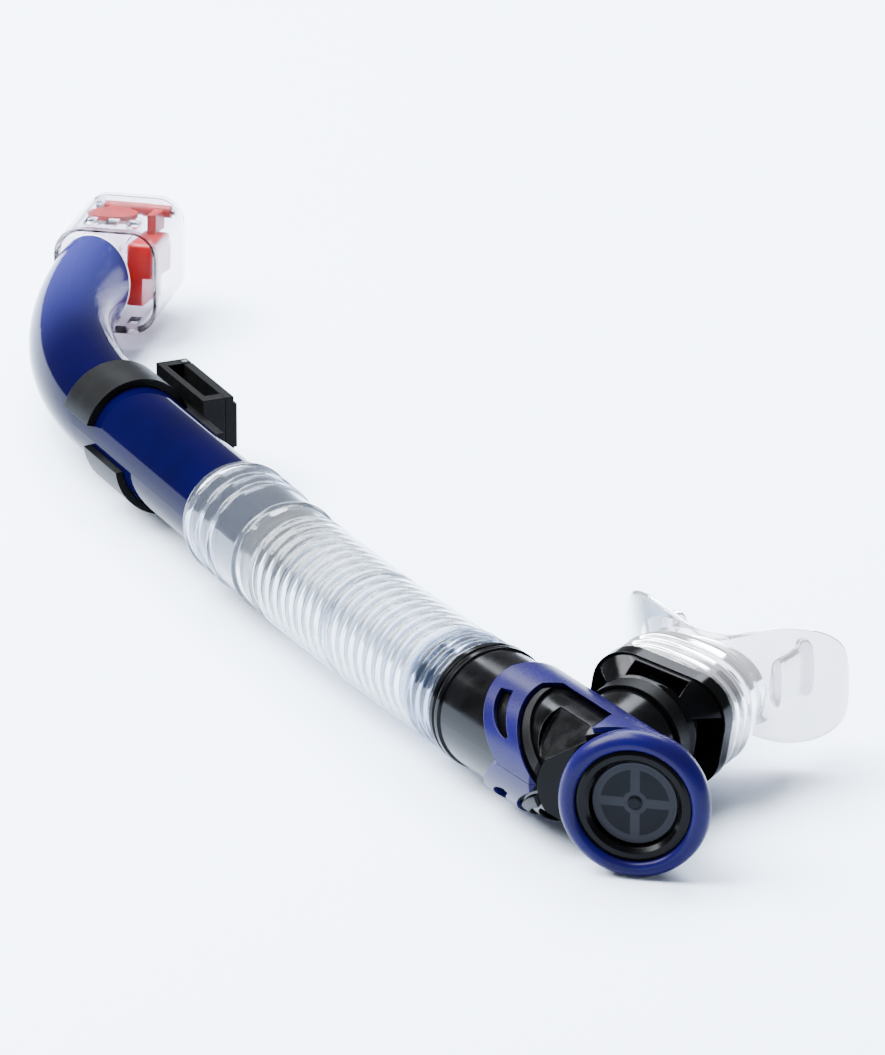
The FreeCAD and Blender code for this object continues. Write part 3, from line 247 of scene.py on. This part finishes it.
def valve_silicone():
    """Valve disc: thin smoke-grey silicone, drawn opaque, with its seat painted on: lighter over the
    seat's spokes, hub and ring, and painted shade over the open sectors between them.
    """
    def links(tree):
        cloud = noise(tree, place_in_mm(tree), 0.4)
        spoke = add(tree, "ShaderNodeAttribute", {"attribute_name": "spoke"}).outputs["Fac"]
        # Painted light and shade: lighter where the seat's parts would show through the disc, darker
        # over its shaded open sectors.
        grey = ramp(tree, spoke, linear("#0C0D10"), linear("#1F2024"), 0.2, 0.8)
        return {"Base Color": grey, "Roughness": ramp(tree, cloud, 0.28, 0.36)}
    return material("valve_silicone", {"IOR": 1.41, "Specular IOR Level": 0.06}, links)


def soft_white():
    """Seals: white silicone rubber."""
    def links(tree):
        place = place_in_mm(tree)
        cloud = noise(tree, place, 0.3)
        return {"Base Color": ramp(tree, cloud, linear("#E9E9E8"), linear("#D9DADB")),
                "Roughness": ramp(tree, cloud, 0.4, 0.5)}
    return material("seal_silicone", {}, links)


def black_rubber():
    """O-rings: nitrile rubber with a dull bloom."""
    def links(tree):
        cloud = noise(tree, place_in_mm(tree), 0.6)
        return {"Base Color": ramp(tree, cloud, linear("#121212"), linear("#1E1E1F")),
                "Roughness": ramp(tree, cloud, 0.5, 0.65)}
    return material("nitrile_rubber", {}, links)


def pin_steel():
    """Pins: drawn stainless steel."""
    def links(tree):
        cloud = noise(tree, place_in_mm(tree), 2.0)
        return {"Roughness": ramp(tree, cloud, 0.2, 0.32)}
    return material("stainless_steel", {"Base Color": linear("#B9BCBF"), "Metallic": 1.0}, links)


blue_clear = dyed_polycarbonate()
blue = blue_gloss()
black = black_gloss()
satin = black_satin()
hood_clear = clear_polycarbonate("clear_polycarbonate", "#E6E1E6", 0.05)
duct_clear = clear_polycarbonate("clear_polycarbonate_duct", "#E8DCE2", 0.1)
red = red_plastic()
hose_clear = silicone("hose_silicone", "#EEF2F6", "#E6ECF2", 0.965, 0.07, 0.13)
mouth_clear = silicone("mouth_silicone", "#DCD7D8", "#D2CED0", 0.87, 0.06, 0.11)
valve_grey = valve_silicone()
seal_white = soft_white()
rubber = black_rubber()
steel = pin_steel()

FINISH = {
    "barrel_tube": blue_clear,
    "top_hood": hood_clear,
    "top_base": duct_clear,
    "core_insert": red,
    "float": red,
    "float_lever": red,
    "flap_plate": red,
    "flap_seal": seal_white,
    "top_gasket": seal_white,
    "hinge_pin": steel,
    "gate_pin": steel,
    "keeper_band": satin,
    "keeper_bracket": satin,
    "keeper_gate": satin,
    "neck_collar": black,
    "chamber_body": black,
    "cover_top": blue,
    "cover_bottom": blue,
    "grip_top": satin,
    "grip_bottom": satin,
    "purge_bezel": blue,
    "purge_retainer": black,
    "purge_seat": satin,
    "purge_o_ring": rubber,
    "swivel_o_ring": rubber,
    "swivel_collar": satin,
    "branch_connector": black,
}
for name, finish in FINISH.items():
    nodes[name].data.materials.clear()
    nodes[name].data.materials.append(finish)


# ---------------------------------------------------------------- geometry helpers

def grid_mesh(name, points, close_u=True, close_v=False, cap=False):
    """A mesh from a grid of points with shape (v, u, 3).  Rows join to the next row, columns to
    the next column, and either way round may close on itself.  Caps fill the first and last row."""
    rows, columns = points.shape[:2]
    index = np.arange(rows * columns).reshape(rows, columns)
    a = index if close_v else index[:-1]
    b = np.roll(index, -1, axis=0) if close_v else index[1:]
    if close_u:
        quads = np.stack([a, np.roll(a, -1, axis=1), np.roll(b, -1, axis=1), b], axis=-1)
    else:
        quads = np.stack([a[:, :-1], a[:, 1:], b[:, 1:], b[:, :-1]], axis=-1)
    faces = quads.reshape(-1, 4).tolist()
    if cap:
        faces.append(index[0][::-1].tolist())
        faces.append(index[-1].tolist())
    mesh = bpy.data.meshes.new(name)
    mesh.from_pydata(points.reshape(-1, 3).tolist(), [], faces)
    mesh.polygons.foreach_set("use_smooth", [True] * len(mesh.polygons))
    mesh.update()
    made = bpy.data.objects.new(name, mesh)
    bpy.context.scene.collection.objects.link(made)
    return made


def dress(made, finish):
    made.data.materials.append(finish)
    return made


def keep_numbers(made, name, values):
    """Keep one number for each vertex on the mesh under this name, for its material to read."""
    layer = made.data.attributes.new(name, "FLOAT", "POINT")
    layer.data.foreach_set("value", np.asarray(values, np.float32).reshape(-1))


def basis(axis):
    """Sideways, up and along vectors for an axis, as rows; up is as near to vertical as it can be."""
    along = np.array(axis, float)
    along /= np.linalg.norm(along)
    side = np.cross([0.0, 0.0, 1.0], along)
    side /= np.linalg.norm(side)
    return np.stack([side, np.cross(along, side), along])


def node_points(name):
    count = len(nodes[name].data.vertices)
    points = np.zeros(count * 3)
    nodes[name].data.vertices.foreach_get("co", points)
    return points.reshape(-1, 3)


# ---------------------------------------------------------------- hose

sway = np.array(joints["hose_sway"]["pos_m"])
bend = np.array(joints["hose_bend"]["pos_m"])
chord = bend - sway
HOSE_SPAN = float(np.linalg.norm(chord)) / 0.44
HOSE_LEAN = 2 * math.atan2(-chord[0], chord[1])


def hose_path(length):
    """Points and unit headings at distances along the hose, in metres from the neck collar.
    The heading turns evenly from the chamber's lean to the barrel's line over the hose's span,
    then stays straight; the points are the sum of small steps along it."""
    fine = np.linspace(-0.02, float(length.max()) + 0.001, 4000)
    turn = HOSE_LEAN * (1 - np.clip(fine / HOSE_SPAN, 0, 1))
    heading = np.stack([-np.sin(turn), np.cos(turn), np.zeros_like(turn)], axis=-1)
    step = fine[1] - fine[0]
    walk = np.cumsum(heading, axis=0) * step
    at_sway = np.array([np.interp(0.28 * HOSE_SPAN, fine, walk[:, k]) for k in range(3)])
    walk = walk - at_sway + sway
    centre = np.stack([np.interp(length, fine, walk[:, k]) for k in range(3)], axis=-1)
    angle = HOSE_LEAN * (1 - np.clip(length / HOSE_SPAN, 0, 1))
    ahead = np.stack([-np.sin(angle), np.cos(angle), np.zeros_like(angle)], axis=-1)
    return centre, ahead


def bump(place, centre, width):
    """A smooth bump: (1 + cos(pi * d / width)) / 2 within width of its centre, and 0 outside."""
    distance = np.clip(np.abs(place - centre) / width, 0, 1)
    return 0.5 * (1 + np.cos(np.pi * distance))


HOSE_OUTER = 14.15
HOSE_INNER = 12.95
RIB_HEIGHT = 0.75
RIB_FIRST = 17.5
RIB_PITCH = 4.75
RIB_COUNT = 18


def hose_outside(s):
    """Outer radius in mm at s mm along the hose: the plain radius plus a rounded rib at every
    pitch, with slightly thicker cuffs that carry three raised rings near the neck and four at
    the barrel."""
    radius = np.full_like(s, HOSE_OUTER)
    for rib in range(RIB_COUNT):
        radius = radius + RIB_HEIGHT * bump(s, RIB_FIRST + rib * RIB_PITCH, 1.9)
    near = np.clip((14.5 - s) / 2.0, 0, 1)
    far = np.clip((s - (HOSE_SPAN / MM - 7.0)) / 3.0, 0, 1)
    radius = radius + 0.35 * near * near * (3 - 2 * near) + 0.3 * far * far * (3 - 2 * far)
    for ring in (2.6, 6.6, 10.8):
        radius = radius + RIB_HEIGHT * bump(s, ring, 1.3)
    for ring in (-3.0, 13.0, 20.0, 27.0):
        radius = radius + RIB_HEIGHT * bump(s, HOSE_SPAN / MM + ring, 1.6)
    return radius


def hose_inside(s):
    """Inner radius in mm: plain over the spigots, and following the ribs between them."""
    radius = np.full_like(s, HOSE_INNER)
    for rib in range(RIB_COUNT):
        radius = radius + 0.55 * bump(s, RIB_FIRST + rib * RIB_PITCH, 1.9)
    return radius


def hose_painted_shade(s):
    """Painted shade, from 0 to 1, for the blue-grey of the silicone: a thin line in the valley beside
    each rib, fainter towards the barrel, fainter lines beside the neck's rings, and most of both
    cuffs, for the shaded spigot and barrel seen through them."""
    depth = np.zeros_like(s)
    fade = np.clip(1.0 - (s - RIB_FIRST) / 110.0, 0.25, 1.0)
    for rib in range(RIB_COUNT):
        depth = depth + 0.95 * fade * bump(s, RIB_FIRST + 2.1 + rib * RIB_PITCH, 0.9)
    for ring in (4.6, 8.7, 13.2):
        depth = depth + 0.45 * bump(s, ring, 1.1)
    near = np.clip((15.0 - s) / 2.5, 0, 1)
    far = np.clip((s - (HOSE_SPAN / MM - 6.0)) / 3.0, 0, 1)
    return np.clip(depth + 0.7 * near + 0.5 * far, 0, 1)


def hose_part(name, start, end):
    """A closed tube wall from start to end in mm: the outside forward, then the inside back."""
    s = np.linspace(start, end, int((end - start) / 0.28))
    outer = hose_outside(s)
    inner = hose_inside(s)
    along = np.concatenate([s, s[::-1]])
    radius = np.concatenate([outer, inner[::-1]])
    centre, ahead = hose_path(along * MM)
    side = np.stack([ahead[:, 1], -ahead[:, 0], np.zeros(len(along))], axis=-1)
    turn = np.linspace(0, 2 * np.pi, 96, endpoint=False)
    ring = (np.cos(turn)[None, :, None] * side[:, None, :]
            + np.sin(turn)[None, :, None] * np.array([0.0, 0.0, 1.0]))
    points = centre[:, None, :] + ring * (radius * MM)[:, None, None]
    made = grid_mesh(name, points[:, ::-1], close_u=True, close_v=True)
    # The painted shade along the hose, kept on the mesh as the deep attribute.
    keep_numbers(made, "deep", np.repeat(hose_painted_shade(along), len(turn)))
    return made


hose_cut = RIB_FIRST + 8.5 * RIB_PITCH
hose_end = HOSE_SPAN / MM + 30.0
hose_lower = hose_part("hose_lower", 0.2, hose_cut)
hose_upper = hose_part("hose_upper", hose_cut, hose_end)
for part in (hose_lower, hose_upper):
    dress(part, hose_clear)
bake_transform(hose_lower)
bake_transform(hose_upper)
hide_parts("flex_hose")


# ---------------------------------------------------------------- mouthpiece

swivel = joints["mouthpiece_swivel"]
MOUTH_AXIS = basis(swivel["axis"])
MOUTH_POINT = np.array(swivel["pos_m"]) - 0.020 * MOUTH_AXIS[2]
MOUTH_TURN = math.radians(11.0)
MOUTH_TWIST = math.radians(-10.0)


def mouth_place(x, y, z):
    """Millimetres across, up and along the mouthpiece to metres in the object's frame.  Across
    and up are first turned about the axis by the angle at which the cuff lies, and the soft
    neck twists a little more, smoothly from 51 mm to 60 mm along."""
    share = np.clip((z - 51.0) / 9.0, 0, 1)
    turn = MOUTH_TURN + MOUTH_TWIST * share * share * (3 - 2 * share)
    turned_x = x * np.cos(turn) - y * np.sin(turn)
    turned_y = x * np.sin(turn) + y * np.cos(turn)
    local = np.stack([turned_x, turned_y, z + 0 * x], axis=-1) * MM
    return MOUTH_POINT + local @ MOUTH_AXIS


PLATE_RADIUS = 43.0


def plate_sag(x):
    """How far the bite plate lies ahead of its middle at x mm to the side: a circle's depth."""
    return PLATE_RADIUS - np.sqrt(PLATE_RADIUS ** 2 - np.clip(np.abs(x), 0, 34.0) ** 2)


TURNS = 288


def loop(width, height, power, waist=0.0):
    """A rounded loop: |x / width| ** power + |y / height| ** power = 1, with its middle drawn in
    by waist mm to leave a lobe at either side."""
    turn = np.linspace(0, 2 * np.pi, TURNS, endpoint=False)
    c, s = np.cos(turn), np.sin(turn)
    scale = (np.abs(c) ** power + np.abs(s) ** power) ** (-1 / power)
    x = width * c * scale
    y = height * s * scale
    dip = waist * np.exp(-(x / (0.42 * width)) ** 2)
    return x, y * (1 - dip / height)


# Places along the mouthpiece, half width and half height of its loops, and small sizes, in mm.
CUFF_START = 37.3
CUFF_LENGTH = 13.0
BORE_DEPTH = 10.8
PLATE_PLACE = 60.2
RIM = 0.75
PLATE_BACK = PLATE_PLACE - 2 * RIM
CUFF = np.array([18.2, 14.5])
CUFF_BORE = np.array([16.5, 12.8])
NECK = np.array([15.6, 10.9])
LOBE = np.array([30.2, 16.0])
LOBE_WAIST = 5.6
AIRWAY = np.array([11.6, 7.6])
AIRWAY_ROUNDING = 0.9
# The power of each loop: 2 is an ellipse, and more is squarer.
CUFF_POWER = 2.6
NECK_POWER = 2.3
LOBE_POWER = 3.9


def mouthpiece():
    """One closed surface of loops: out along the cuff, over the neck and the back of the bite
    plate, round its rim, in over its face, and back down the airway to the cuff's lip."""
    rows = []
    painted_shades = []

    def row(half_sizes, power, z, waist=0.0, follow=0.0, depth=0.0):
        x, y = loop(half_sizes[0], half_sizes[1], power, waist)
        rows.append(mouth_place(x, y, z + follow * plate_sag(x)))
        painted_shades.append(depth)

    for z in np.linspace(0, CUFF_LENGTH, 70):
        rise = sum(0.8 * float(bump(np.array(z), ring, 1.5)) for ring in (1.8, 5.6, 9.4))
        lip = 0.6 * (1 - min(1.0, z / 0.6)) ** 2
        # Painted shade in the valleys between the cuff's rings, kept on the mesh as the deep attribute.
        valley = sum(0.55 * float(bump(np.array(z), place, 1.1)) for place in (3.7, 7.5, 11.3))
        row(CUFF + rise - lip, CUFF_POWER, CUFF_START + z, depth=valley)
    cuff_end = CUFF_START + CUFF_LENGTH
    for t in np.linspace(0.03, 1, 40):
        ease = t * t * (3 - 2 * t)
        row(CUFF + (NECK - CUFF) * ease, CUFF_POWER + (NECK_POWER - CUFF_POWER) * t,
            cuff_end + t * (PLATE_BACK - cuff_end), follow=0.25 * t * t)
    for t in np.linspace(0.02, 1, 60):
        row(NECK + (LOBE - NECK) * t ** 0.9, NECK_POWER + (LOBE_POWER - NECK_POWER) * t,
            PLATE_BACK + 2 * RIM * min(1.0, t * 5) ** 0.6, waist=LOBE_WAIST * t * t,
            follow=0.25 + 0.75 * min(1.0, t * 2.2) ** 0.7)
    for t in np.linspace(0.1, 1, 10):
        angle = t * math.pi
        row(LOBE + RIM * math.sin(angle), LOBE_POWER, PLATE_PLACE + RIM * (1 - math.cos(angle)),
            waist=LOBE_WAIST, follow=1.0)
    for t in np.linspace(0.03, 1, 50):
        row(LOBE + (AIRWAY - LOBE) * t, LOBE_POWER + (NECK_POWER - LOBE_POWER) * t,
            PLATE_PLACE + 2 * RIM, waist=LOBE_WAIST * (1 - t) ** 2, follow=1.0)
    for t in np.linspace(0.05, 1, 12):
        row(AIRWAY - AIRWAY_ROUNDING * math.sin(t * math.pi / 2), NECK_POWER,
            PLATE_PLACE + 2 * RIM * (1 - t), follow=1 - t)
    narrow = AIRWAY - AIRWAY_ROUNDING
    for t in np.linspace(0.05, 1, 30):
        ease = t * t * (3 - 2 * t)
        row(narrow + (CUFF_BORE - narrow) * ease, NECK_POWER + (CUFF_POWER - NECK_POWER) * t,
            PLATE_PLACE - t * (PLATE_PLACE - CUFF_START - BORE_DEPTH))
    for z in np.linspace(BORE_DEPTH - 0.2, 0.0, 30):
        row(CUFF_BORE, CUFF_POWER, CUFF_START + z)
    made = grid_mesh("mouth_silicone", np.array(rows)[:, ::-1], close_u=True, close_v=True)
    keep_numbers(made, "deep", np.repeat(painted_shades, TURNS))
    return made


def bite_tab(name, side):
    """A bite tab: rounded loops along a stalk that swells to a bead at its free end."""
    t = np.linspace(0, 1, 48)
    rows = []
    for k in t:
        swell = math.exp(-((k - 0.86) / 0.13) ** 2)
        cap = math.sqrt(max(0.0, 1 - max(0.0, (k - 0.86) / 0.14) ** 2))
        width = (1.5 + 1.6 * swell) * max(cap, 0.02)
        height = (6.6 + 1.2 * swell) * max(cap, 0.05)
        x, y = loop(width, height, 2.6)
        rows.append(mouth_place(x + side * (16.5 + 1.2 * k), y,
                                60.6 + plate_sag(np.array(16.5)) + 14.0 * k))
    points = np.array(rows)[:, ::-1]
    return grid_mesh(name, points, close_u=True, cap=True)


mouth = dress(mouthpiece(), mouth_clear)
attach(mouth, "mouthpiece")
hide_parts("mouthpiece")
for name, side in (("bite_tab_near", -1), ("bite_tab_far", 1)):
    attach(dress(bite_tab(name, side), mouth_clear), "mouthpiece")


# ---------------------------------------------------------------- purge valve disc

PURGE_AXIS = basis(joints["valve_lift"]["axis"])
disc_points = node_points("purge_diaphragm")
disc_along = disc_points @ PURGE_AXIS[2]
PURGE_CENTRE = disc_points @ PURGE_AXIS[:2].T
PURGE_CENTRE = (PURGE_CENTRE.max(axis=0) + PURGE_CENTRE.min(axis=0)) / 2
DISC_FRONT = float(disc_along.max()) - 0.0005
PURGE_FACE = (np.append(PURGE_CENTRE, DISC_FRONT + 0.0034) @ PURGE_AXIS).tolist()


# The seat's pattern painted on the disc as light and shade, in mm: half a spoke's width, the radius
# of the hub, the inner radius of the ring, and the radius of the disc's own boss.
SPOKE_HALF = 1.15
HUB_RADIUS = 3.0
RING_RADIUS = 8.3
BOSS_RADIUS = 1.75


def purge_disc():
    """The valve disc turned from its section: stem and bulb behind, a flat thin disc with a fine
    raised rim, and a small round boss in front.  The spoke attribute is 1 over the seat's
    cross, hub and ring and 0 over the open sectors."""
    section = [(0.02, -7.7), (1.2, -7.6), (2.2, -7.0), (2.2, -6.2), (1.6, -6.1), (1.6, -0.9),
               (4.0, -0.9), (10.2, -0.9), (10.4, -0.75), (10.4, -0.02), (10.3, 0.14), (10.05, 0.14)]
    section += [(r, 0.0) for r in np.linspace(9.9, 2.0, 60)]
    section += [(1.7, 0.05), (1.5, 0.4), (1.1, 0.45), (0.02, 0.46)]
    radius = np.array([p[0] for p in section])
    depth = np.array([p[1] for p in section])
    turn = np.linspace(0, 2 * np.pi, 288, endpoint=False)
    across = radius[:, None] * np.cos(turn)
    upward = radius[:, None] * np.sin(turn)
    points = (((PURGE_CENTRE[0] + across * MM)[..., None] * PURGE_AXIS[0])
              + ((PURGE_CENTRE[1] + upward * MM)[..., None] * PURGE_AXIS[1])
              + ((DISC_FRONT + depth[:, None] * MM + 0 * turn)[..., None] * PURGE_AXIS[2]))
    made = grid_mesh("purge_disc", points, close_u=True, cap=True)
    # The spoke attribute is 1 where the seat is painted lighter, and 0 over the boss and over the open
    # sectors, which are painted shade.
    cross = np.minimum(np.abs(across), np.abs(upward)) < SPOKE_HALF
    far = np.broadcast_to(radius[:, None], across.shape)
    seat = cross | (far > RING_RADIUS) | (far < HUB_RADIUS)
    keep_numbers(made, "spoke", seat & (far > BOSS_RADIUS))
    return made


disc = dress(purge_disc(), valve_grey)
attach(disc, "valve")
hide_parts("purge_diaphragm")


# ---------------------------------------------------------------- floor, light and camera

def studio():
    """A wide pale floor that the object rests on."""
    half = 6.0
    corners = np.array([[[-half, -half, 0], [half, -half, 0]], [[-half, half, 0], [half, half, 0]]])
    floor = grid_mesh("floor", corners - np.array([0, 0, 0.0002]), close_u=False)

    def links(tree):
        cloud = noise(tree, place_in_mm(tree), 0.002)
        return {"Base Color": ramp(tree, cloud, linear("#E2ECF9"), linear("#E0EAF8"))}
    floor.data.materials.append(material("paper_sweep", {"Roughness": 0.9,
                                                         "Specular IOR Level": 0.1}, links))


def softbox(name, target, offset, size, power, colour):
    """A rectangular lamp at an offset from its target, turned to face it."""
    lamp = bpy.data.lights.new(name, "AREA")
    lamp.shape = "RECTANGLE"
    lamp.size, lamp.size_y = size
    lamp.energy = power
    lamp.color = linear(colour)[:3]
    made = bpy.data.objects.new(name, lamp)
    bpy.context.scene.collection.objects.link(made)
    made.location = Vector(target) + Vector(offset)
    made.rotation_euler = (-Vector(offset)).to_track_quat("-Z", "Y").to_euler()


def camera():
    """A long lens that looks down the snorkel from beyond its purge end, a little from the left."""
    elevation, azimuth = math.radians(21.0), math.radians(23.9)
    forward = Vector((math.sin(azimuth) * math.cos(elevation),
                      math.cos(azimuth) * math.cos(elevation), -math.sin(elevation)))
    right = Vector((math.cos(azimuth), -math.sin(azimuth), 0))
    upward = right.cross(forward)
    seen = Vector(PURGE_FACE)
    distance, to_left, upwards = 2.5, 0.0449, 0.0665
    eye = seen - forward * distance - right * to_left + upward * upwards
    made = bpy.data.objects.new("camera", bpy.data.cameras.new("camera"))
    made.data.sensor_fit = "VERTICAL"
    made.data.sensor_height = 36.0
    made.data.lens = 360.0
    made.data.clip_end = 50.0
    made.matrix_world = Matrix.Translation(eye) @ Matrix((right, upward, -forward)).transposed().to_4x4()
    bpy.context.scene.collection.objects.link(made)
    bpy.context.scene.camera = made


studio()
world = bpy.data.worlds.new("studio")
world.use_nodes = True
world.node_tree.nodes["Background"].inputs["Color"].default_value = linear("#EEF3FB")
world.node_tree.nodes["Background"].inputs["Strength"].default_value = 0.55
bpy.context.scene.world = world
middle = (0.0, -0.05, 0.02)
softbox("key", middle, (-0.9, 0.5, 1.5), (1.5, 1.5), 300.0, "#F6FAFF")
softbox("top", middle, (0.5, 1.0, 1.6), (1.6, 1.2), 150.0, "#EEF5FF")
camera()
